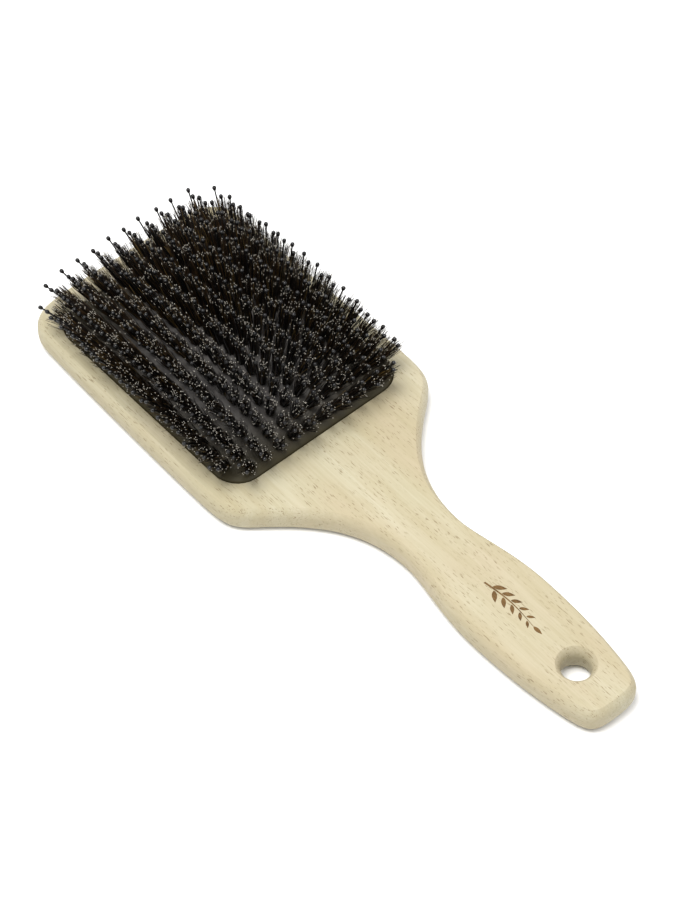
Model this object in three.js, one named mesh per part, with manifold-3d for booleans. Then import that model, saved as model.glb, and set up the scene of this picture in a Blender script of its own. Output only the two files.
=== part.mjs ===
// A paddle hairbrush: one beech paddle with a domed rubber cushion let into its face, and rows of
// bristle tufts and ball-tipped pins that stand through the rubber.
// Millimetres. The brush lies on its back: X runs along it with the handle at +X, +Z is up, and the
// origin is the middle of its box, on the back.
import * as THREE from "three";
import { mergeVertices } from "three/addons/utils/BufferGeometryUtils.js";
import Module from "manifold-3d";

// Paddle
const HALF_LENGTH = 125;
const THICKNESS = 10.4;
// Every edge is rounded and then planed, which leaves a crisp line round each face.
const EDGE = { radius: 5.2, planed: 1.1, steps: 4 };
const HANG_HOLE = { x: 105.4, radius: 4.9, sides: 20 };
const VENT = { x: -66.25, radius: 1, sides: 8 };

// Cushion, and the pocket that holds it
const PAD = { x: -66.25, halfLength: 48.75, halfWidth: 38, cornerRadius: 10 };
const CROWN = 6;
const DOME_POWER = 0.6;
const SHEET = 1.5;
const EDGE_DROP = 0.2;
const POCKET_DEPTH = 5.5;
const GROOVE = { top: 2, bottom: 3.9, reach: 1.2 };
const GAP = 0.3;
// How finely the pad's outline is stepped, on the pocket's walls and on the cushion's rim
const WALL_STEPS = { along: 1, across: 1, corner: 5 };
const RIM_STEPS = { along: 10, across: 8, corner: 4 };

// Tufts and pins: a grid on the cushion without its four corners, leaning outwards like a fan.
// The fan's angles are degrees, and degrees for each millimetre from the middle of the pad.
const COLUMNS = 17;
const ROWS = 12;
const COLUMN_PITCH = 5.5;
const ROW_PITCH = 6;
const GRID_MARGIN = 2;
const HOLE_HALF = 1.6;
const FAN = { perMillimetre: 0.83, offsetX: -5, offsetY: -8 };
const TUFT = { length: 12.5, rootHalf: 1, tipHalf: 2.4, near: -0.2, far: 1.1, farAtTip: 2.6 };

// Each tuft has one nylon wire beside it, folded at the strip, with a ball on both of its legs.
const PIN = { y: -0.9, radius: 0.33, sides: 3, ballRadius: 0.75, ballLength: 2.1, ballWidest: 0.35 };
const PIN_LEGS = [
  { x: -0.8, length: 17.2 },
  { x: 0.8, length: 15.6 },
];

// Under the rubber each row's tufts, and each row's pins, stand on a strip that follows the dome.
const STRIP = { top: SHEET + GAP, thickness: 1, endMargin: 1.2, steps: 6 };
const ROOT_SINK = 0.6;
const TUFT_STRIP = { near: -0.3, far: 1.5 };
const PIN_STRIP = { near: -1.4, far: -0.6 };
const ROOT_DEPTH = STRIP.top + ROOT_SINK * STRIP.thickness;

const wasm = await Module();
wasm.setup();

// Turns a closed geometry into a solid that can be joined and cut.
function solidOf(geometry) {
  const bare = geometry.clone();
  bare.deleteAttribute("normal");
  bare.deleteAttribute("uv");
  const merged = mergeVertices(bare, 1e-4);
  return new wasm.Manifold(
    new wasm.Mesh({
      numProp: 3,
      vertProperties: new Float32Array(merged.attributes.position.array),
      triVerts: new Uint32Array(merged.index.array),
    }),
  );
}

// Turns a solid back into a geometry.
function geometryOf(solid) {
  const made = solid.getMesh();
  const geometry = new THREE.BufferGeometry();
  geometry.setAttribute("position", new THREE.BufferAttribute(new Float32Array(made.vertProperties), 3));
  geometry.setIndex(new THREE.BufferAttribute(new Uint32Array(made.triVerts), 1));
  geometry.computeVertexNormals();
  return geometry;
}

function radians(degrees) {
  return (degrees * Math.PI) / 180;
}

// One half of the paddle's outline, from the middle of the far end round to the end of the handle.
// Each knot has its place, the direction in which the edge passes, and the length of the curve's
// handles before and after it.
const OUTLINE = [
  { x: -HALF_LENGTH, y: 0, angle: 90, before: 0, after: 12 },
  { x: -124.3, y: 31, angle: 85, before: 12, after: 6.5 },
  { x: -111.7, y: 43.4, angle: 3.6, before: 8.6, after: 11.6 },
  { x: -27.6, y: 45.55, angle: 0, before: 22.6, after: 14.2 },
  { x: -5.7, y: 36.5, angle: -51.5, before: 9.7, after: 19.1 },
  { x: 38, y: 11.8, angle: 0, before: 20, after: 8.4 },
  { x: 74.7, y: 16.35, angle: 0, before: 15.9, after: 17.6 },
  { x: 110.8, y: 13.65, angle: -9, before: 8, after: 13 },
  { x: HALF_LENGTH, y: 0, angle: -90, before: 9.9, after: 0 },
];
const OUTLINE_STEPS = [3, 6, 3, 8, 9, 5, 5, 6];

function halfOutline() {
  const points = [];
  OUTLINE.slice(1).forEach((end, i) => {
    const start = OUTLINE[i];
    const leave = radians(start.angle);
    const arrive = radians(end.angle);
    const curve = new THREE.CubicBezierCurve(
      new THREE.Vector2(start.x, start.y),
      new THREE.Vector2(start.x + start.after * Math.cos(leave), start.y + start.after * Math.sin(leave)),
      new THREE.Vector2(end.x - end.before * Math.cos(arrive), end.y - end.before * Math.sin(arrive)),
      new THREE.Vector2(end.x, end.y),
    );
    points.push(...curve.getPoints(OUTLINE_STEPS[i]).slice(1));
  });
  return points;
}

function paddleShape() {
  const farToHandle = halfOutline();
  const otherSide = farToHandle.slice(0, -1).map((p) => new THREE.Vector2(p.x, -p.y));
  return new THREE.Shape([
    new THREE.Vector2(-HALF_LENGTH, 0),
    ...otherSide,
    ...farToHandle.reverse(),
  ]);
}

// The hanging hole as a solid plug, wider at both faces: its rim is rounded and planed like the
// outer edge. It stands a little proud of both faces.
function hangHoleGeometry() {
  const ring = (radius, z) => {
    const points = [];
    for (let k = 0; k < HANG_HOLE.sides; k += 1) {
      const turn = (2 * Math.PI * k) / HANG_HOLE.sides;
      points.push(
        new THREE.Vector3(HANG_HOLE.x + radius * Math.cos(turn), radius * Math.sin(turn), z),
      );
    }
    return points;
  };
  const lower = [];
  const upper = [];
  for (let k = 1; k <= EDGE.steps; k += 1) {
    const turn = (Math.PI * k) / (2 * EDGE.steps);
    const radius = HANG_HOLE.radius + EDGE.radius * (1 - Math.sin(turn));
    const depth = EDGE.radius * (1 - Math.cos(turn)) - EDGE.planed;
    lower.push(ring(radius, depth));
    upper.unshift(ring(radius, THICKNESS - depth));
  }
  return loft([...lower, ...upper]);
}

// The pad's outline, grown by a margin, as a list of points going round anticlockwise.
function padLoop(margin, steps) {
  const radius = PAD.cornerRadius + margin;
  const x = PAD.halfLength - PAD.cornerRadius;
  const y = PAD.halfWidth - PAD.cornerRadius;
  const corners = [
    { x, y: -y, from: -90, steps: steps.across },
    { x, y, from: 0, steps: steps.along },
    { x: -x, y, from: 90, steps: steps.across },
    { x: -x, y: -y, from: 180, steps: steps.along },
  ];
  const points = [];
  corners.forEach((corner, i) => {
    const next = corners[(i + 1) % corners.length];
    const turn = (k) => radians(corner.from + (90 * k) / steps.corner);
    for (let k = 0; k <= steps.corner; k += 1) {
      points.push(
        new THREE.Vector2(
          PAD.x + corner.x + radius * Math.cos(turn(k)),
          corner.y + radius * Math.sin(turn(k)),
        ),
      );
    }
    const last = points[points.length - 1];
    const first = new THREE.Vector2(
      PAD.x + next.x + radius * Math.cos(radians(next.from)),
      next.y + radius * Math.sin(radians(next.from)),
    );
    for (let k = 1; k < corner.steps; k += 1) {
      points.push(last.clone().lerp(first, k / corner.steps));
    }
  });
  return points;
}

function slab(points, bottom, top) {
  const geometry = new THREE.ExtrudeGeometry(new THREE.Shape(points), {
    depth: top - bottom,
    bevelEnabled: false,
  });
  return geometry.translate(0, 0, bottom);
}

function paddleGeometry() {
  const board = new THREE.ExtrudeGeometry(paddleShape(), {
    depth: THICKNESS + 2 * EDGE.planed - 2 * EDGE.radius,
    bevelThickness: EDGE.radius,
    bevelSize: EDGE.radius,
    bevelOffset: -EDGE.radius,
    bevelSegments: EDGE.steps,
  }).translate(0, 0, EDGE.radius - EDGE.planed);
  const planed = new THREE.BoxGeometry(4 * HALF_LENGTH, 4 * HALF_LENGTH, THICKNESS)
    .translate(0, 0, THICKNESS / 2);
  const pocket = slab(padLoop(0, WALL_STEPS), THICKNESS - POCKET_DEPTH, 2 * THICKNESS);
  const groove = slab(
    padLoop(GROOVE.reach + GAP, WALL_STEPS),
    THICKNESS - GROOVE.bottom - GAP,
    THICKNESS - GROOVE.top + GAP,
  );
  const vent = new THREE.CylinderGeometry(VENT.radius, VENT.radius, THICKNESS, VENT.sides)
    .rotateX(Math.PI / 2)
    .translate(VENT.x, 0, 0);
  const cuts = [hangHoleGeometry(), pocket, groove, vent].map(solidOf);
  return geometryOf(
    cuts.reduce((paddle, cut) => paddle.subtract(cut), solidOf(board).intersect(solidOf(planed))),
  );
}

// Height of the cushion's upper face.
function domeHeight(x, y) {
  const along = 1 - ((x - PAD.x) / PAD.halfLength) ** 2;
  const across = 1 - (y / PAD.halfWidth) ** 2;
  return THICKNESS + CROWN * Math.max(along * across, 0) ** DOME_POWER;
}

// How far a line through the cushion at a place moves sideways for each millimetre up.
function lean(x, y) {
  return new THREE.Vector3(
    Math.tan(radians(FAN.perMillimetre * (x - PAD.x) + FAN.offsetX)),
    Math.tan(radians(FAN.perMillimetre * y + FAN.offsetY)),
    1,
  );
}

// A place on the cushion's upper face, moved up along its leaning line.
function onFan(x, y, rise) {
  return new THREE.Vector3(x, y, domeHeight(x, y)).addScaledVector(lean(x, y), rise);
}

function columnX(i) {
  return PAD.x + (i - (COLUMNS - 1) / 2) * COLUMN_PITCH;
}

function rowY(j) {
  return (j - (ROWS - 1) / 2) * ROW_PITCH;
}

function isCorner(i, j) {
  return (i === 0 || i === COLUMNS - 1) && (j === 0 || j === ROWS - 1);
}

// The lines between the cells round the tufts; the outer ones lie closer to their tufts.
function cellEdge(index, count, place, margin) {
  if (index === 0) return place(0) - margin;
  if (index === count) return place(count - 1) + margin;
  return (place(index - 1) + place(index)) / 2;
}

// Collects the triangles of one closed surface.
class Surface {
  constructor() {
    this.positions = [];
  }

  triangle(a, b, c) {
    this.positions.push(...a.toArray(), ...b.toArray(), ...c.toArray());
  }

  quad(a, b, c, d) {
    this.triangle(a, b, c);
    this.triangle(a, c, d);
  }

  // Walls from one loop to another with as many points. Seen from the second loop's side, both
  // loops go round anticlockwise.
  walls(from, to) {
    from.forEach((point, i) => {
      const next = (i + 1) % from.length;
      this.quad(point, from[next], to[next], to[i]);
    });
  }

  // Everything between an outer loop and a loop inside it, as seen from above.
  annulus(outer, inner, faceUp) {
    const flat = (loop) => loop.map((p) => new THREE.Vector2(p.x, p.y));
    const points = [...outer, ...inner];
    THREE.ShapeUtils.triangulateShape(flat(outer), [flat(inner)]).forEach((face) => {
      const [a, b, c] = face.map((index) => points[index]);
      const turn = (b.x - a.x) * (c.y - a.y) - (b.y - a.y) * (c.x - a.x);
      if (turn > 0 === faceUp) this.triangle(a, b, c);
      else this.triangle(a, c, b);
    });
  }

  geometry() {
    const made = new THREE.BufferGeometry();
    made.setAttribute("position", new THREE.Float32BufferAttribute(this.positions, 3));
    const merged = mergeVertices(made, 1e-4);
    merged.computeVertexNormals();
    return merged;
  }
}

// A closed solid through a row of convex loops, flat at both ends.
function loft(loops) {
  const surface = new Surface();
  const cap = (loop) => {
    for (let k = 1; k < loop.length - 1; k += 1) surface.triangle(loop[0], loop[k], loop[k + 1]);
  };
  loops.slice(1).forEach((loop, i) => surface.walls(loops[i], loop));
  cap([...loops[0]].reverse());
  cap(loops[loops.length - 1]);
  return surface.geometry();
}

// The corners of the square hole for one tuft and pin, through the sheet along their leaning line.
function holeCorners(i, j, rise) {
  const x = columnX(i);
  const y = rowY(j);
  const along = lean(x, y).multiplyScalar(rise);
  const signs = [[-1, -1], [1, -1], [1, 1], [-1, 1]];
  return signs.map(([a, b]) => onFan(x + a * HOLE_HALF, y + b * HOLE_HALF, 0).add(along));
}

function gridNode(i, j, rise) {
  return onFan(
    cellEdge(i, COLUMNS, columnX, GRID_MARGIN),
    cellEdge(j, ROWS, rowY, GRID_MARGIN),
    rise,
  );
}

// The edge of the grid of cells, anticlockwise, stepping in round each of the missing corners.
function gridBorder(rise) {
  const steps = [];
  for (let i = 1; i < COLUMNS; i += 1) steps.push([i, 0]);
  for (let j = 1; j < ROWS; j += 1) {
    if (j === 1) steps.push([COLUMNS - 1, 1]);
    steps.push([COLUMNS, j]);
    if (j === ROWS - 1) steps.push([COLUMNS - 1, j]);
  }
  for (let i = COLUMNS - 1; i > 0; i -= 1) steps.push([i, ROWS]);
  for (let j = ROWS - 1; j > 0; j -= 1) {
    if (j === ROWS - 1) steps.push([1, j]);
    steps.push([0, j]);
    if (j === 1) steps.push([1, 1]);
  }
  return steps.map(([i, j]) => gridNode(i, j, rise));
}

function cushionGeometry() {
  const surface = new Surface();
  const ring = (margin, drop) =>
    padLoop(margin, RIM_STEPS).map((p) => new THREE.Vector3(p.x, p.y, THICKNESS - drop));
  for (let i = 0; i < COLUMNS; i += 1) {
    for (let j = 0; j < ROWS; j += 1) {
      if (isCorner(i, j)) continue;
      const places = [[i, j], [i + 1, j], [i + 1, j + 1], [i, j + 1]];
      const upper = places.map(([a, b]) => gridNode(a, b, 0));
      const lower = places.map(([a, b]) => gridNode(a, b, -SHEET));
      const mouth = holeCorners(i, j, 0);
      const exit = holeCorners(i, j, -SHEET);
      surface.walls(upper, mouth);
      surface.walls(mouth, exit);
      surface.walls(exit, lower);
    }
  }
  const rim = [
    ring(-GAP - SHEET, EDGE_DROP + SHEET),
    ring(-GAP - SHEET, GROOVE.bottom),
    ring(GROOVE.reach, GROOVE.bottom),
    ring(GROOVE.reach, GROOVE.top),
    ring(-GAP, GROOVE.top),
    ring(-GAP, EDGE_DROP),
  ];
  rim.slice(1).forEach((loop, i) => surface.walls(rim[i], loop));
  surface.annulus(rim[rim.length - 1], gridBorder(0), true);
  surface.annulus(rim[0], gridBorder(-SHEET), false);
  return surface.geometry();
}

// A strip under the rubber along one row, closer in steps where the dome curves more.
function stripGeometry(j, side) {
  const y = rowY(j);
  const ends = j === 0 || j === ROWS - 1 ? 1 : 0;
  const halfRun = columnX(COLUMNS - 1 - ends) - PAD.x + STRIP.endMargin;
  const loops = [];
  for (let k = 0; k <= STRIP.steps; k += 1) {
    const x = PAD.x + halfRun * Math.sin(Math.PI * (k / STRIP.steps - 0.5));
    const bottom = -STRIP.top - STRIP.thickness;
    loops.push([
      onFan(x, y + side.near, bottom),
      onFan(x, y + side.far, bottom),
      onFan(x, y + side.far, -STRIP.top),
      onFan(x, y + side.near, -STRIP.top),
    ]);
  }
  return loft(loops);
}

// How far along Z a length that leans with the fan reaches.
function riseOf(length, x, y) {
  return length / lean(x, y).length();
}

function tuftGeometry(x, y) {
  const loop = (half, far, rise) => {
    const corners = [[-half, TUFT.near], [half, TUFT.near], [half, far], [-half, far]];
    return corners.map(([a, b]) => onFan(x, y, rise).add(new THREE.Vector3(a, b, 0)));
  };
  return loft([
    loop(TUFT.rootHalf, TUFT.far, -ROOT_DEPTH),
    loop(TUFT.tipHalf, TUFT.farAtTip, riseOf(TUFT.length, x, y)),
  ]);
}

function legGeometry(x, y, length) {
  const loop = (radius, rise) => {
    const points = [];
    for (let k = 0; k < PIN.sides; k += 1) {
      const turn = (2 * Math.PI * k) / PIN.sides - Math.PI / 2;
      const out = new THREE.Vector3(radius * Math.cos(turn), radius * Math.sin(turn), 0);
      points.push(onFan(x, y, rise).add(out));
    }
    return points;
  };
  const rise = (alongLeg) => riseOf(alongLeg, x, y);
  return loft([
    loop(PIN.radius, -ROOT_DEPTH),
    loop(PIN.radius, rise(length - PIN.ballLength)),
    loop(PIN.ballRadius, rise(length - PIN.ballWidest * PIN.ballLength)),
    loop(PIN.radius, rise(length)),
  ]);
}

function tuftSolids(x, y) {
  return [solidOf(tuftGeometry(x, y))];
}

function pinSolids(x, y) {
  return PIN_LEGS.map((leg) => solidOf(legGeometry(x + leg.x, y + PIN.y, leg.length)));
}

// All of one row's tufts or pins, joined by their strip.
function rowGeometry(j, side, solidsAt) {
  let row = solidOf(stripGeometry(j, side));
  for (let i = 0; i < COLUMNS; i += 1) {
    if (isCorner(i, j)) continue;
    solidsAt(columnX(i), rowY(j)).forEach((solid) => {
      row = row.add(solid);
    });
  }
  return geometryOf(row);
}

const beech = { color: 0xe2d6ac, roughness: 0.6, metalness: 0 };
const rubber = { color: 0x2b2a28, roughness: 0.75, metalness: 0 };
const bristle = { color: 0x17110d, roughness: 0.5, metalness: 0 };
const nylon = { color: 0x0b0a0a, roughness: 0.3, metalness: 0 };

const brush = new THREE.Group();

function addMesh(name, geometry, finish) {
  const mesh = new THREE.Mesh(geometry, new THREE.MeshStandardMaterial(finish));
  mesh.name = name;
  brush.add(mesh);
}

addMesh("paddle_body", paddleGeometry(), beech);
addMesh("rubber_cushion", cushionGeometry(), rubber);
for (let j = 0; j < ROWS; j += 1) {
  const number = String(j + 1).padStart(2, "0");
  addMesh("tuft_row_" + number, rowGeometry(j, TUFT_STRIP, tuftSolids), bristle);
  addMesh("pin_row_" + number, rowGeometry(j, PIN_STRIP, pinSolids), nylon);
}

export default brush;
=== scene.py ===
"""A beech paddle hairbrush: the looks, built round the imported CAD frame.

Sizes in this script are in millimetres, as in the CAD, and mesh_piece() turns them into metres.
The brush lies on its back with the handle towards +X and the cushion's face up.
"""

import math

import bpy
import numpy as np
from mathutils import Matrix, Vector
from mathutils.geometry import tessellate_polygon


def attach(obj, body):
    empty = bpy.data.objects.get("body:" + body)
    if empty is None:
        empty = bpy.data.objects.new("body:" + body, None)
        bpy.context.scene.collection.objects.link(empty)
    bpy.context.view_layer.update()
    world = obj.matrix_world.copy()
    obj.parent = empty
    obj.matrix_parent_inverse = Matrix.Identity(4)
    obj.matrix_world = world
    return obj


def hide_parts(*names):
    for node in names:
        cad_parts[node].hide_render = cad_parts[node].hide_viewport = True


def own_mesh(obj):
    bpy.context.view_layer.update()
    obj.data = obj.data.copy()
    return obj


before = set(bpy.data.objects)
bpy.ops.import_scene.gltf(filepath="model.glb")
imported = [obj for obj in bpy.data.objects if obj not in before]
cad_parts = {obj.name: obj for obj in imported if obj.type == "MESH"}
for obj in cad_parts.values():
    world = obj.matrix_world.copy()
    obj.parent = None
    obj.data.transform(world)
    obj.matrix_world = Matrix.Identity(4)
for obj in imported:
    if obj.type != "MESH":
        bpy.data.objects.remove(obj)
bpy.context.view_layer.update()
rng = np.random.default_rng(20260)

MM = 0.001

# Paddle, as in the CAD
THICKNESS = 10.4
HALF_LENGTH = 125.0
EDGE_RADIUS = 5.2
EDGE_PLANED = 1.1
EDGE_STEPS = 8
HANG_HOLE_X = 105.4
HANG_HOLE_RADIUS = 4.9
HANG_HOLE_SIDES = 72
VENT_RADIUS = 1.0
VENT_SIDES = 24
# Each knot of the half outline: x, y, direction in degrees, handle length before and after.
OUTLINE = [
    (-HALF_LENGTH, 0, 90, 0, 12),
    (-124.3, 31, 85, 12, 6.5),
    (-111.7, 43.4, 3.6, 8.6, 11.6),
    (-27.6, 45.55, 0, 22.6, 14.2),
    (-5.7, 36.5, -51.5, 9.7, 19.1),
    (38, 11.8, 0, 20, 8.4),
    (74.7, 16.35, 0, 15.9, 17.6),
    (110.8, 13.65, -9, 8, 13),
    (HALF_LENGTH, 0, -90, 9.9, 0),
]
OUTLINE_STEPS = (14, 18, 24, 22, 30, 20, 18, 20)

# Cushion and pocket, as in the CAD
PAD_X = -66.25
PAD_HALF_LENGTH = 48.75
PAD_HALF_WIDTH = 38.0
PAD_CORNER = 10.0
CROWN = 6.0
DOME_POWER = 0.6
SHEET = 1.5
EDGE_DROP = 0.2
POCKET_DEPTH = 5.5
GROOVE_TOP = 2.0
GROOVE_BOTTOM = 3.9
GROOVE_REACH = 1.2
GAP = 0.3

# How the pocket and the rubber are shaped beyond the CAD
POCKET_POINTS = 168
POCKET_CHAMFER = 0.12
CUSHION_STEPS = (196, 152)
CORNER_ROUNDING = 6  # how late, from the middle outwards, the grid's corners are pulled in
RIM_ROLL = 0.06  # the share of the half width over which the sheet rolls down to its rim
UNDERSIDE_SHARE = 0.965
DIMPLE_DEPTH = 0.55
DIMPLE_RADIUS = 1.6
COLLAR_HEIGHT = 0.18
COLLAR_RADIUS = 2.1
COLLAR_WIDTH = 0.5

# Tufts and pins, as in the CAD
COLUMNS = 17
ROWS = 12
COLUMN_PITCH = 5.5
ROW_PITCH = 6.0
FAN_PER_MM = 0.83
FAN_OFFSET_X = -5.0
FAN_OFFSET_Y = -8.0
TUFT_LENGTH = 12.5
PIN_OFFSET_Y = -0.9
PIN_LEGS = [(-0.8, 17.2), (0.8, 15.6)]
PIN_RADIUS = 0.32
BALL_RADIUS = 0.76
BALL_LENGTH = 2.1

# How bristles and pins vary
HAIRS = 100
HAIR_SIDES = 3
HAIR_RADIUS = (0.08, 0.12)
HAIR_TAPER = 0.35
HAIR_ROOT_DEPTH = 1.2
HAIR_STRAY = 0.5
HAIR_BOW = 0.35
HAIR_LENGTH = (0.86, 1.1)
HAIR_LENGTH_BIAS = 0.7  # under 1, so that more hairs are long than short
TUFT_LEAN_STRAY = 0.03
TUFT_UNEVEN = 0.02
TUFT_ROOT_RADIUS = 1.3
TUFT_TIP_RADII = (2.9, 2.15)
EDGE_SPLAY = 0.7
# Share of hairs whose end is painted pale as a painted glint of light off the bristle ends, where
# that end stretch begins, and its fatter radius
GLINT_SHARE = 0.27
GLINT_FROM = 0.968
GLINT_END_RADIUS = 0.17
PIN_SIDES = 10
PIN_SHAFT_RINGS = 6
PIN_TAPER = (1.1, 0.85)
PIN_PART = 0.03  # how far the two legs of one wire lean apart
PIN_STRAY = 0.032
PIN_UNEVEN = 0.35
PIN_BEND = 0.25
BALL_RINGS = 9
BALL_FULLNESS = 1.35  # over 1, so that the egg is widest nearer its tip

# Sprig on the handle
SPRIG_X = (63.0, 86.0)
SPRIG_BOW = 1.1
SPRIG_Y = -0.5
SPRIG_HALF_HEIGHT = 0.05
STEM_HALF_WIDTH = 0.28
LEAF_PAIRS = 5
LEAF_SIZE = (4.8, 0.85)
END_LEAF_SIZE = (4.0, 0.7)
LEAF_ANGLE = 38

# Camera, lights and floor
CAMERA_LENS = 126.2
CAMERA_SENSOR = 36
CAMERA_DIRECTION = (48.82, 52.26)
CAMERA_DISTANCE = 1.0824
CAMERA_TARGET = (-11.8, 1.9, 0)
SKY_STRENGTH = 0.62
FLOOR_HALF = 3000
FLOOR_Z = -0.05


# ---------------------------------------------------------------- meshes

def mesh_piece(name, points, faces, materials, smooth=True, slots=None, sharp_angle=None):
    """A mesh object from points in millimetres. smooth and slots may be one value for each face."""
    mesh = bpy.data.meshes.new(name)
    mesh.from_pydata((np.asarray(points, float) * MM).tolist(), [], faces)
    flags = np.full(len(mesh.polygons), smooth) if isinstance(smooth, bool) else np.asarray(smooth)
    mesh.polygons.foreach_set("use_smooth", flags.astype(bool))
    for material in materials:
        mesh.materials.append(material)
    if slots is not None:
        mesh.polygons.foreach_set("material_index", np.asarray(slots, np.int32))
    if sharp_angle is not None:
        mesh.set_sharp_from_angle(angle=math.radians(sharp_angle))
    mesh.update()
    piece = bpy.data.objects.new(name, mesh)
    bpy.context.scene.collection.objects.link(piece)
    return piece


class Loops:
    """Collects loops of points and the faces between them."""

    def __init__(self):
        self.points = []
        self.faces = []
        self.smooth = []

    def loop(self, points):
        start = len(self.points)
        self.points.extend(map(tuple, points))
        return list(range(start, len(self.points)))

    def wall(self, a, b):
        """Faces from loop a to loop b. Seen from b's side, both go round anticlockwise."""
        count = len(a)
        for i in range(count):
            j = (i + 1) % count
            self.faces.append((a[i], a[j], b[j], b[i]))
            self.smooth.append(True)

    def walls(self, loops):
        for a, b in zip(loops, loops[1:]):
            self.wall(a, b)

    def flat(self, outer, holes, up):
        """A flat face with holes, as triangles."""
        rings = [outer, *holes]
        order = [index for ring in rings for index in ring]
        shape = [[Vector((*self.points[k][:2], 0)) for k in ring] for ring in rings]
        for corners in tessellate_polygon(shape):
            a, b, c = (order[k] for k in corners)
            pa, pb, pc = (self.points[k] for k in (a, b, c))
            turn = (pb[0] - pa[0]) * (pc[1] - pa[1]) - (pb[1] - pa[1]) * (pc[0] - pa[0])
            if abs(turn) < 1e-9:
                continue
            self.faces.append((a, b, c) if (turn > 0) == up else (a, c, b))
            self.smooth.append(False)


# ---------------------------------------------------------------- shapes shared with the CAD

def bezier(p0, p1, p2, p3, steps):
    """Points along a cubic curve, without its first."""
    t = np.linspace(0, 1, steps + 1)[1:, None]
    s = 1 - t
    return s**3 * p0 + 3 * s * s * t * p1 + 3 * s * t * t * p2 + t**3 * p3


def paddle_outline():
    """The paddle's outline, anticlockwise, and its outward directions."""
    half = [np.array([[-HALF_LENGTH, 0.0]])]
    for start, end, steps in zip(OUTLINE, OUTLINE[1:], OUTLINE_STEPS):
        leave, arrive = math.radians(start[2]), math.radians(end[2])
        p0, p3 = np.array(start[:2], float), np.array(end[:2], float)
        p1 = p0 + start[4] * np.array([math.cos(leave), math.sin(leave)])
        p2 = p3 - end[3] * np.array([math.cos(arrive), math.sin(arrive)])
        half.append(bezier(p0, p1, p2, p3, steps))
    upper = np.vstack(half)
    lower = upper[1:-1] * (1, -1)
    points = np.vstack([upper[:1], lower, upper[:0:-1]])
    along = np.roll(points, -1, 0) - np.roll(points, 1, 0)
    out = np.stack([along[:, 1], -along[:, 0]], 1)
    return points, out / np.linalg.norm(out, axis=1)[:, None]


def pad_edge(u, v):
    """Where the line from the pad's middle through (u, v) meets its rounded edge, as a share of
    the way to the edge of the plain rectangle, with u and v from -1 to 1."""
    m = np.maximum(np.maximum(np.abs(u), np.abs(v)), 1e-9)
    bx, by = np.abs(u) / m * PAD_HALF_LENGTH, np.abs(v) / m * PAD_HALF_WIDTH
    cx, cy = PAD_HALF_LENGTH - PAD_CORNER, PAD_HALF_WIDTH - PAD_CORNER
    a = bx * bx + by * by
    b = bx * cx + by * cy
    c = cx * cx + cy * cy - PAD_CORNER**2
    root = (b + np.sqrt(np.maximum(b * b - a * c, 0))) / a
    in_corner = (bx * root > cx) & (by * root > cy)
    return np.where(in_corner, np.minimum(root, 1), 1.0)


def pad_loop(margin):
    """The pad's outline grown by a margin, anticlockwise."""
    points, out = pad_rim()
    return points + out * margin


def pad_rim():
    """Evenly spaced points round the pad's edge, and their outward directions."""
    cx, cy = PAD_HALF_LENGTH - PAD_CORNER, PAD_HALF_WIDTH - PAD_CORNER
    arc = PAD_CORNER * math.pi / 2
    lengths = [arc, 2 * cx, arc, 2 * cy] * 2
    corners = [(cx, cy), (-cx, cy), (-cx, -cy), (cx, -cy)]
    points, out = [], []
    for s in np.arange(POCKET_POINTS) / POCKET_POINTS * 2 * (2 * arc + 2 * cx + 2 * cy):
        side = 0
        while side < len(lengths) - 1 and s > lengths[side]:
            s -= lengths[side]
            side += 1
        corner = np.array(corners[side // 2])
        turn = math.pi / 2 * (side // 2) + (s / PAD_CORNER if side % 2 == 0 else math.pi / 2)
        normal = np.array([math.cos(turn), math.sin(turn)])
        place = corner + normal * PAD_CORNER
        if side % 2:
            place = place + np.array([-normal[1], normal[0]]) * s
        points.append(place + (PAD_X, 0))
        out.append(normal)
    return np.array(points), np.array(out)


def dome_height(x, y):
    """Height of the cushion's upper face, before its dimples."""
    along = 1 - ((x - PAD_X) / PAD_HALF_LENGTH) ** 2
    across = 1 - (y / PAD_HALF_WIDTH) ** 2
    return THICKNESS + CROWN * np.maximum(along * across, 0) ** DOME_POWER


def lean(x, y):
    """How a tuft at (x, y) leans: its way sideways for each millimetre up."""
    return np.array([
        math.tan(math.radians(FAN_PER_MM * (x - PAD_X) + FAN_OFFSET_X)),
        math.tan(math.radians(FAN_PER_MM * y + FAN_OFFSET_Y)),
        1.0,
    ])


def column_x(i):
    return PAD_X + (i - (COLUMNS - 1) / 2) * COLUMN_PITCH


def row_y(j):
    return (j - (ROWS - 1) / 2) * ROW_PITCH


def places(j):
    """The x of each tuft in row j: the four corners of the grid are empty."""
    ends = 1 if j in (0, ROWS - 1) else 0
    return [column_x(i) for i in range(ends, COLUMNS - ends)]


def row_body(j):
    """Rows move in pairs, counted outwards from the two beside the pad's middle line."""
    out = ROWS // 2 - 1 - min(j, ROWS - 1 - j)
    return f"rows_out_{out}" if out else "rows_centre"


# ---------------------------------------------------------------- materials

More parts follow.
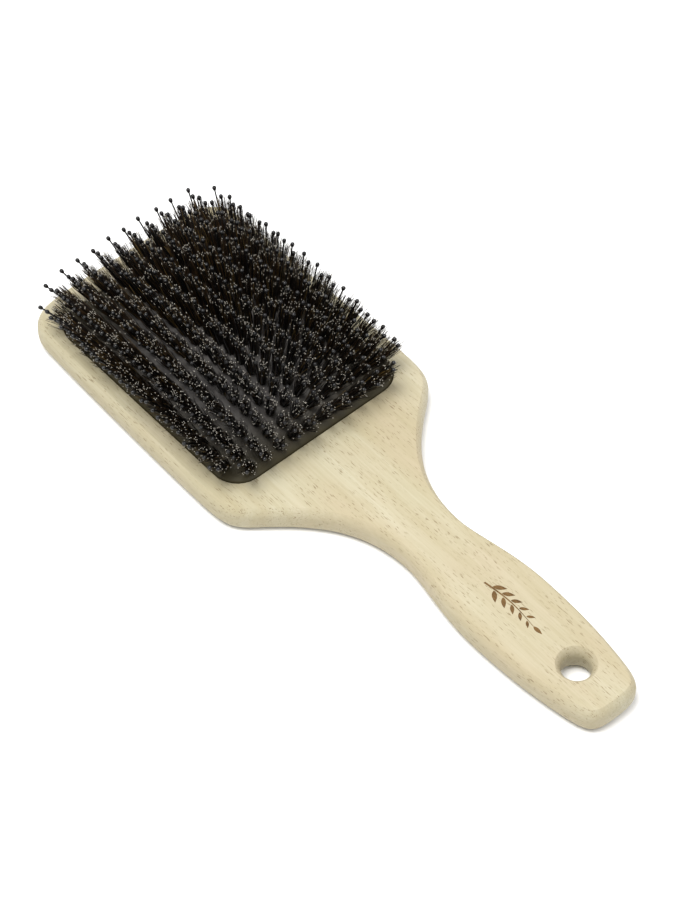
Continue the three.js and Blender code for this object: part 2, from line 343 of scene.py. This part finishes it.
class Nodes:
    """A material's node tree, with short ways to add what the materials here use."""

    def __init__(self, name, **sockets):
        self.material = bpy.data.materials.new(name)
        self.material.use_nodes = True
        self.tree = self.material.node_tree
        self.shader = self.tree.nodes["Principled BSDF"]
        for socket, value in sockets.items():
            self.shader.inputs[socket.replace("_", " ")].default_value = value

    def node(self, kind, **settings):
        made = self.tree.nodes.new("ShaderNode" + kind)
        for key, value in settings.items():
            setattr(made, key, value)
        return made

    def link(self, a, b):
        self.tree.links.new(a, b)

    def place(self, scale):
        """The piece's own coordinates, times scale along each axis, in features per metre."""
        where = self.node("TexCoord")
        stretch = self.node("Mapping")
        stretch.inputs["Scale"].default_value = scale
        self.link(where.outputs["Object"], stretch.inputs["Vector"])
        return stretch.outputs["Vector"]

    def noise(self, scale, detail=2.0, roughness=0.5, distortion=0.0):
        made = self.node("TexNoise")
        self.link(self.place(scale), made.inputs["Vector"])
        made.inputs["Scale"].default_value = 1.0
        made.inputs["Detail"].default_value = detail
        made.inputs["Roughness"].default_value = roughness
        made.inputs["Distortion"].default_value = distortion
        return made.outputs["Fac"]

    def ramp(self, value, low, high, bottom=0.0, top=1.0):
        """The value's range from low to high, spread over bottom to top."""
        made = self.node("MapRange")
        self.link(value, made.inputs["Value"])
        made.inputs["From Min"].default_value = low
        made.inputs["From Max"].default_value = high
        made.inputs["To Min"].default_value = bottom
        made.inputs["To Max"].default_value = top
        return made.outputs["Result"]

    def math(self, operation, a, b):
        made = self.node("Math", operation=operation)
        for socket, value in zip(made.inputs, (a, b)):
            if isinstance(value, (int, float)):
                socket.default_value = value
            else:
                self.link(value, socket)
        return made.outputs["Value"]

    def mix(self, share, a, b):
        made = self.node("Mix", data_type="RGBA")
        sockets = {s.identifier: s for s in made.inputs}
        for key, value in (("Factor_Float", share), ("A_Color", a), ("B_Color", b)):
            if isinstance(value, (int, float, tuple)):
                sockets[key].default_value = value
            else:
                self.link(value, sockets[key])
        return next(s for s in made.outputs if s.identifier == "Result_Color")

    def bump(self, height, strength, distance_mm):
        made = self.node("Bump")
        made.inputs["Strength"].default_value = strength
        made.inputs["Distance"].default_value = distance_mm * MM
        self.link(height, made.inputs["Height"])
        self.link(made.outputs["Normal"], self.shader.inputs["Normal"])


def linear(red, green, blue):
    """A colour given as 0 to 255 on screen, as the renderer's linear values."""
    channels = [c / 255 for c in (red, green, blue)]
    return (*(c / 12.92 if c <= 0.04045 else ((c + 0.055) / 1.055) ** 2.4 for c in channels), 1.0)


def beech_material():
    """Fine-sanded beech: long soft streaks, close grain, and the short dark flecks of its pores."""
    m = Nodes("beech", Roughness=0.55, Specular_IOR_Level=0.35)
    streaks = m.noise((5, 70, 70), detail=3, distortion=0.4)
    grain = m.noise((45, 1500, 1500), detail=2)
    blotches = m.noise((30, 45, 45), detail=2)
    mottle = m.noise((70, 260, 260), detail=3)
    flecks = m.ramp(m.noise((330, 2600, 2600), detail=1), 0.62, 0.69)
    patches = m.ramp(m.noise((60, 220, 220), detail=1), 0.34, 0.56)
    colour = m.mix(m.ramp(streaks, 0.35, 0.65), linear(184, 178, 153), linear(171, 161, 131))
    colour = m.mix(m.ramp(blotches, 0.4, 0.72, 0, 0.4), colour, linear(179, 163, 138))
    colour = m.mix(m.ramp(mottle, 0.45, 0.7, 0, 0.4), colour, linear(167, 156, 124))
    colour = m.mix(m.ramp(grain, 0.35, 0.75, 0, 0.42), colour, linear(158, 147, 116))
    share = m.math("MULTIPLY", m.math("MULTIPLY", flecks, patches), 0.75)
    colour = m.mix(share, colour, linear(112, 94, 62))
    m.link(colour, m.shader.inputs["Base Color"])
    m.link(m.ramp(grain, 0.3, 0.7, 0.5, 0.64), m.shader.inputs["Roughness"])
    relief = m.math("SUBTRACT", grain, m.math("MULTIPLY", flecks, 0.8))
    m.bump(relief, 0.25, 0.06)
    return m.material


def burn_material():
    """Wood charred by a branding iron: brown, mottled darker and lighter by a fine noise."""
    m = Nodes("burned_mark", Roughness=0.75, Specular_IOR_Level=0.2)
    char = m.noise((300, 1400, 1400), detail=3)
    colour = m.mix(m.ramp(char, 0.35, 0.65), linear(84, 62, 34), linear(112, 85, 50))
    m.link(colour, m.shader.inputs["Base Color"])
    return m.material


def rubber_material():
    """Moulded rubber: dark grey with a faint bloom, browner and barer at its rim."""
    m = Nodes("cushion_rubber", Roughness=0.6, Specular_IOR_Level=0.4)
    bloom = m.noise((160, 160, 160), detail=4)
    pores = m.noise((2200, 2200, 2200), detail=2)
    colour = m.mix(m.ramp(bloom, 0.35, 0.7), linear(64, 61, 59), linear(86, 83, 80))
    where = m.node("TexCoord")
    split = m.node("SeparateXYZ")
    m.link(where.outputs["Object"], split.inputs["Vector"])
    low = m.ramp(split.outputs["Z"], (THICKNESS + 0.6) * MM, (THICKNESS + 4.4) * MM, 1, 0)
    colour = m.mix(low, colour, linear(53, 46, 19))
    m.link(colour, m.shader.inputs["Base Color"])
    m.link(m.ramp(bloom, 0.3, 0.7, 0.5, 0.7), m.shader.inputs["Roughness"])
    m.bump(pores, 0.3, 0.05)
    return m.material


def plain_material(name, colour, **sockets):
    m = Nodes(name, **sockets)
    m.shader.inputs["Base Color"].default_value = colour
    return m.material


# Boar bristle isn't one colour: each hair takes one of these. Some hairs end in a fatter stretch
# painted pale, a painted glint of light caught on the bristle ends.
BRISTLE_TONES = [
    ("bristle_black", linear(12, 10, 8), 0.47),
    ("bristle_umber", linear(27, 20, 15), 0.27),
    ("bristle_brown", linear(52, 37, 20), 0.19),
    ("bristle_sand", linear(92, 74, 40), 0.07),
]
# Painted glint: this pale colour on hair ends stands for light caught on them
BRISTLE_GLINT = ("bristle_painted_glint", linear(172, 166, 154))


def bristle_materials():
    made = [
        plain_material(name, colour, Roughness=0.4, Specular_IOR_Level=0.35)
        for name, colour, _ in BRISTLE_TONES
    ]
    made.append(plain_material(*BRISTLE_GLINT, Roughness=0.5))
    return made


# ---------------------------------------------------------------- pieces

def make_paddle():
    """One board: rounded edges, the pocket with its groove, the hanging hole and the vent."""
    made = Loops()
    outline, out = paddle_outline()

    def edge(inset, z):
        place = outline - out * inset
        return made.loop([(x, y, z) for x, y in place])

    def ring(x, radius, z, count):
        turns = np.arange(count) / count * 2 * math.pi
        return made.loop([(x + radius * math.cos(t), radius * math.sin(t), z) for t in turns])

    start = math.acos(1 - EDGE_PLANED / EDGE_RADIUS)

    def rounding(k):
        """The edge's inset and its depth: a quarter round without the part that was planed off."""
        turn = start + (math.pi / 2 - start) * k / EDGE_STEPS
        return EDGE_RADIUS * (1 - math.sin(turn)), EDGE_RADIUS * (1 - math.cos(turn)) - EDGE_PLANED

    lower = [edge(inset, z) for inset, z in map(rounding, range(EDGE_STEPS + 1))]
    upper = [
        edge(inset, THICKNESS - z) for inset, z in map(rounding, range(EDGE_STEPS, -1, -1))
    ]
    made.walls(lower + upper)

    hole = [
        ring(HANG_HOLE_X, HANG_HOLE_RADIUS + inset, THICKNESS - z, HANG_HOLE_SIDES)
        for inset, z in map(rounding, range(EDGE_STEPS + 1))
    ]
    hole += [
        ring(HANG_HOLE_X, HANG_HOLE_RADIUS + inset, z, HANG_HOLE_SIDES)
        for inset, z in map(rounding, range(EDGE_STEPS, -1, -1))
    ]
    made.walls(hole)

    def pocket_ring(margin, drop):
        return made.loop([(x, y, THICKNESS - drop) for x, y in pad_loop(margin)])

    reach = GROOVE_REACH + GAP
    pocket = [
        pocket_ring(POCKET_CHAMFER, 0),
        pocket_ring(0, POCKET_CHAMFER),
        pocket_ring(0, GROOVE_TOP - GAP),
        pocket_ring(reach, GROOVE_TOP - GAP),
        pocket_ring(reach, GROOVE_BOTTOM + GAP),
        pocket_ring(0, GROOVE_BOTTOM + GAP),
        pocket_ring(0, POCKET_DEPTH),
    ]
    made.walls(pocket)
    vent = [
        ring(PAD_X, VENT_RADIUS, THICKNESS - POCKET_DEPTH, VENT_SIDES),
        ring(PAD_X, VENT_RADIUS, 0, VENT_SIDES),
    ]
    made.walls(vent)

    made.flat(upper[-1], [pocket[0], hole[0]], up=True)
    made.flat(pocket[-1], [vent[0]], up=True)
    made.flat(lower[0], [hole[-1], vent[-1]], up=False)
    piece = mesh_piece(
        "beech_paddle", made.points, made.faces, [beech_material()], made.smooth, sharp_angle=22
    )
    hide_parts("paddle_body")
    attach(piece, "paddle")


def make_cushion():
    """The domed rubber sheet, dimpled where each tuft pulls on it, with its rim and bead."""
    nu, nv = CUSHION_STEPS
    u, v = np.meshgrid(np.linspace(-1, 1, nu + 1), np.linspace(-1, 1, nv + 1), indexing="ij")
    m = np.maximum(np.abs(u), np.abs(v))
    share = 1 - (1 - pad_edge(u, v)) * m**CORNER_ROUNDING
    inset = (PAD_HALF_LENGTH - GAP) / PAD_HALF_LENGTH
    x = PAD_X + u * PAD_HALF_LENGTH * share * inset
    y = v * PAD_HALF_WIDTH * share * inset
    z = dome_height(x, y)
    fall = np.clip((1 - m) / RIM_ROLL, 0, 1)
    z = (THICKNESS - EDGE_DROP) + (z - THICKNESS + EDGE_DROP) * np.sqrt(fall * (2 - fall))
    for j in range(ROWS):
        for px in places(j):
            d2 = (x - px) ** 2 + (y - row_y(j)) ** 2
            dimple = DIMPLE_DEPTH * np.exp(-d2 / DIMPLE_RADIUS**2)
            off_collar = (np.sqrt(d2) - COLLAR_RADIUS) ** 2
            z -= dimple - COLLAR_HEIGHT * np.exp(-off_collar / COLLAR_WIDTH**2)
    made = Loops()
    top = np.stack([x, y, z], -1)
    bottom = np.stack(
        [PAD_X + (x - PAD_X) * UNDERSIDE_SHARE, y * UNDERSIDE_SHARE, z - SHEET], -1
    )
    top_index = np.array(made.loop(top.reshape(-1, 3))).reshape(nu + 1, nv + 1)
    low_index = np.array(made.loop(bottom.reshape(-1, 3))).reshape(nu + 1, nv + 1)
    for i in range(nu):
        for j in range(nv):
            made.faces.append((
                top_index[i, j], top_index[i + 1, j], top_index[i + 1, j + 1], top_index[i, j + 1],
            ))
            made.faces.append((
                low_index[i, j], low_index[i, j + 1], low_index[i + 1, j + 1], low_index[i + 1, j],
            ))
    border = (
        [(i, 0) for i in range(nu)]
        + [(nu, j) for j in range(nv)]
        + [(i, nv) for i in range(nu, 0, -1)]
        + [(0, j) for j in range(nv, 0, -1)]
    )
    edge = np.array([top[i, j, :2] for i, j in border])
    along = np.roll(edge, -1, 0) - np.roll(edge, 1, 0)
    out = np.stack([along[:, 1], -along[:, 0]], 1)
    out /= np.linalg.norm(out, axis=1)[:, None]

    def ring(margin, drop):
        place = edge + out * (margin + GAP)
        return made.loop([(a, b, THICKNESS - drop) for a, b in place])

    rim = [
        [low_index[i, j] for i, j in border],
        ring(-GAP - SHEET, GROOVE_BOTTOM),
        ring(GROOVE_REACH, GROOVE_BOTTOM),
        ring(GROOVE_REACH, GROOVE_TOP),
        ring(-GAP, GROOVE_TOP),
        [top_index[i, j] for i, j in border],
    ]
    made.smooth = [True] * len(made.faces)
    made.walls(rim)
    faces = [tuple(int(k) for k in face) for face in made.faces]
    piece = mesh_piece(
        "rubber_dome", made.points, faces, [rubber_material()], made.smooth, sharp_angle=60
    )
    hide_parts("rubber_cushion")
    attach(piece, "paddle")
    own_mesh(piece)


def frame_of(direction):
    """Two directions square to a direction and to each other."""
    d = direction / np.linalg.norm(direction)
    side = np.cross(d, (0.0, 1.0, 0.0))
    side /= np.linalg.norm(side)
    return d, side, np.cross(d, side)


def tube(centres, radii, sides, start):
    """Points and faces of a closed tube through the centres."""
    centres = np.asarray(centres)
    _, a, b = frame_of(centres[-1] - centres[0])
    turns = np.arange(sides) / sides * 2 * math.pi
    circle = np.cos(turns)[:, None] * a + np.sin(turns)[:, None] * b
    points = (centres[:, None] + np.asarray(radii)[:, None, None] * circle[None]).reshape(-1, 3)
    faces = []
    for k in range(len(centres) - 1):
        for s in range(sides):
            n = (s + 1) % sides
            first, second = start + k * sides, start + (k + 1) * sides
            faces.append((first + s, first + n, second + n, second + s))
    faces.append(tuple(start + s for s in reversed(range(sides))))
    last = start + (len(centres) - 1) * sides
    faces.append(tuple(last + s for s in range(sides)))
    return points, faces


def make_tufts(j, materials):
    """Every bristle of row j: bundles that splay towards their ends, some hairs with a pale end
    that is a painted glint.
    """
    points, faces, slots = [], [], []
    count = 0
    shares = np.array([share for _, _, share in BRISTLE_TONES])
    glint_slot = len(shares)
    steps = np.array([0, 0.25, 0.5, 0.75, GLINT_FROM, 1])
    splay = 1 + EDGE_SPLAY * (2 * abs(row_y(j)) / (ROWS * ROW_PITCH)) ** 3
    for px in places(j):
        y = row_y(j)
        way, side, across = frame_of(lean(px, y))
        base = np.array([px, y, dome_height(px, y)])
        tuft_stray = rng.normal(0, TUFT_LEAN_STRAY, 2)
        reach = TUFT_LENGTH * rng.normal(1, TUFT_UNEVEN)
        for _ in range(HAIRS):
            r, turn = math.sqrt(rng.random()), rng.random() * 2 * math.pi
            out = r * np.array([math.cos(turn), math.sin(turn)])
            stray = rng.normal(0, HAIR_STRAY * splay, 2)
            tip_out = np.array(TUFT_TIP_RADII) * (1, splay) * out + stray + tuft_stray * reach
            root_out = TUFT_ROOT_RADIUS * out
            bow = rng.normal(0, HAIR_BOW, 2)
            shortest, longest = HAIR_LENGTH
            length = reach * (shortest + (longest - shortest) * rng.random() ** HAIR_LENGTH_BIAS)
            off = (
                root_out
                + (tip_out - root_out) * steps[:, None]
                + bow * (steps * (1 - steps) * 4)[:, None]
            )
            up = -HAIR_ROOT_DEPTH + (length + HAIR_ROOT_DEPTH) * steps
            centres = base + off[:, :1] * side + off[:, 1:] * across + up[:, None] * way
            radii = rng.uniform(*HAIR_RADIUS) * (1 - HAIR_TAPER * steps**1.5)
            # Some hairs get a fatter end in the pale material: a painted highlight, light caught on
            # the bristle ends
            split = rng.random() < GLINT_SHARE
            if split:
                radii[-1] = GLINT_END_RADIUS
            p, f = tube(centres, radii, HAIR_SIDES, count)
            points.append(p)
            faces.extend(f)
            marks = [int(rng.choice(glint_slot, p=shares))] * len(f)
            if split:
                # A tube's last faces are its last ring of sides, its root cap and its tip cap.
                marks[-2 - HAIR_SIDES : -2] = [glint_slot] * HAIR_SIDES
                marks[-1] = glint_slot
            slots.extend(marks)
            count += len(p)
    number = f"{j + 1:02d}"
    piece = mesh_piece(
        f"bristles_{number}", np.vstack(points), faces, materials, slots=slots, sharp_angle=80
    )
    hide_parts(f"tuft_row_{number}")
    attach(piece, row_body(j))


def make_pins(j, material):
    """Row j's pins: the two legs of each folded wire, with a moulded egg at each end."""
    points, faces = [], []
    count = 0
    egg = np.linspace(0.06, 1, BALL_RINGS)
    roundness = 1 - (2 * egg**BALL_FULLNESS - 1) ** 2
    egg_radii = BALL_RADIUS * np.sqrt(np.maximum(roundness, 0.003))
    for px in places(j):
        for leg_x, leg_length in PIN_LEGS:
            x, y = px + leg_x, row_y(j) + PIN_OFFSET_Y
            part = PIN_PART * math.copysign(1, leg_x)
            stray = np.array([rng.normal(part, PIN_STRAY), rng.normal(0, PIN_STRAY), 0])
            way, side, across = frame_of(lean(x, y) + stray)
            base = np.array([x, y, dome_height(x, y)])
            length = leg_length + rng.normal(0, PIN_UNEVEN)
            shaft = np.linspace(-HAIR_ROOT_DEPTH, length - BALL_LENGTH, PIN_SHAFT_RINGS)
            up = np.concatenate([shaft, length - BALL_LENGTH * (1 - egg)])
            shaft_radii = PIN_RADIUS * np.linspace(*PIN_TAPER, len(shaft))
            radii = np.concatenate([shaft_radii, egg_radii])
            bend = rng.normal(0, PIN_BEND, 2)
            bow = np.clip(up / length, 0, 1) ** 2
            centres = base + up[:, None] * way + bow[:, None] * (bend[0] * side + bend[1] * across)
            p, f = tube(centres, radii, PIN_SIDES, count)
            points.append(p)
            faces.extend(f)
            count += len(p)
    number = f"{j + 1:02d}"
    piece = mesh_piece(f"pins_{number}", np.vstack(points), faces, [material], sharp_angle=60)
    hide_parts(f"pin_row_{number}")
    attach(piece, row_body(j))


def make_mark():
    """A plain leaf sprig burned into the handle."""
    made = Loops()

    def stroke(outline):
        low = made.loop([(x, y, THICKNESS - SPRIG_HALF_HEIGHT) for x, y in outline])
        high = made.loop([(x, y, THICKNESS + SPRIG_HALF_HEIGHT) for x, y in outline])
        made.wall(low, high)
        made.flat(high, [], up=True)
        made.flat(low, [], up=False)

    def stem(t):
        x = SPRIG_X[0] + (SPRIG_X[1] - SPRIG_X[0]) * t
        return np.array([x, SPRIG_BOW * math.sin(math.pi * t) + SPRIG_Y])

    ts = np.linspace(0, 1, 20)
    lower = [stem(t) - (0, STEM_HALF_WIDTH * (1.2 - t)) for t in ts]
    upper = [stem(t) + (0, STEM_HALF_WIDTH * (1.2 - t)) for t in ts[::-1]]
    stroke(lower + upper)

    def leaf(t, side, length, width):
        """side is 1 or -1, or 0 for the leaf at the stem's end."""
        root = stem(t) + np.array([0.25, 0.45 * side])
        turn = math.radians(LEAF_ANGLE * side)
        way = np.array([math.cos(turn), math.sin(turn)])
        out = np.array([-way[1], way[0]])
        s = np.linspace(0, 1, 12)
        swell = width * np.sin(math.pi * s**0.8)
        right = [root + way * length * a - out * b for a, b in zip(s, swell)]
        left = [root + way * length * a + out * b for a, b in zip(s[::-1][1:-1], swell[::-1][1:-1])]
        stroke(right + left)

    for k in range(LEAF_PAIRS):
        t = 0.12 + 0.17 * k
        size = 1 - 0.1 * k
        length, width = LEAF_SIZE[0] * size, LEAF_SIZE[1] * size
        leaf(t, 1, length, width)
        leaf(t + 0.06, -1, length, width)
    leaf(0.99, 0, *END_LEAF_SIZE)
    piece = mesh_piece("burned_sprig", made.points, made.faces, [burn_material()], False)
    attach(piece, "paddle")


# ---------------------------------------------------------------- camera, lights, floor

def look_from(azimuth, elevation):
    """The direction from the brush to a viewer, with angles in degrees."""
    a, e = math.radians(azimuth), math.radians(elevation)
    return Vector((math.sin(a) * math.cos(e), -math.cos(a) * math.cos(e), math.sin(e)))


def make_camera():
    data = bpy.data.cameras.new("camera")
    data.lens = CAMERA_LENS
    data.sensor_width = CAMERA_SENSOR
    camera = bpy.data.objects.new("camera", data)
    bpy.context.scene.collection.objects.link(camera)
    back = look_from(*CAMERA_DIRECTION)
    target = Vector(CAMERA_TARGET) * MM
    camera.location = target + back * CAMERA_DISTANCE
    camera.rotation_mode = "QUATERNION"
    camera.rotation_quaternion = (-back).to_track_quat("-Z", "Y")
    data.clip_start, data.clip_end = 0.01, 20
    bpy.context.scene.camera = camera


def area_light(name, azimuth, elevation, distance, size, power):
    """A round light that faces the brush: distance and size in metres, power in watts."""
    data = bpy.data.lights.new(name, "AREA")
    data.shape = "DISK"
    data.size = size
    data.energy = power
    lamp = bpy.data.objects.new(name, data)
    back = look_from(azimuth, elevation)
    lamp.location = back * distance
    lamp.rotation_mode = "QUATERNION"
    lamp.rotation_quaternion = (-back).to_track_quat("-Z", "Y")
    bpy.context.scene.collection.objects.link(lamp)


def make_stage():
    """A white floor, a white sky and two soft lights."""
    corners = [(-1, -1), (1, -1), (1, 1), (-1, 1)]
    floor = mesh_piece(
        "floor",
        [(x * FLOOR_HALF, y * FLOOR_HALF, FLOOR_Z) for x, y in corners],
        [(0, 1, 2, 3)],
        [plain_material("floor_white", (0.9, 0.9, 0.9, 1), Roughness=0.9)],
        False,
    )
    world = bpy.data.worlds.new("studio")
    world.use_nodes = True
    world.node_tree.nodes["Background"].inputs["Color"].default_value = (1, 1, 1, 1)
    world.node_tree.nodes["Background"].inputs["Strength"].default_value = SKY_STRENGTH
    bpy.context.scene.world = world
    area_light("key", -25, 76, 1.3, 0.8, 19)
    area_light("fill", 120, 60, 1.4, 0.9, 5)
    bpy.context.scene.view_settings.view_transform = "Standard"


make_camera()
make_stage()
make_paddle()
make_cushion()
bristle = bristle_materials()
nylon = plain_material("pin_nylon", linear(12, 11, 11), Roughness=0.25, Specular_IOR_Level=0.4)
for row in range(ROWS):
    make_tufts(row, bristle)
    make_pins(row, nylon)
make_mark()
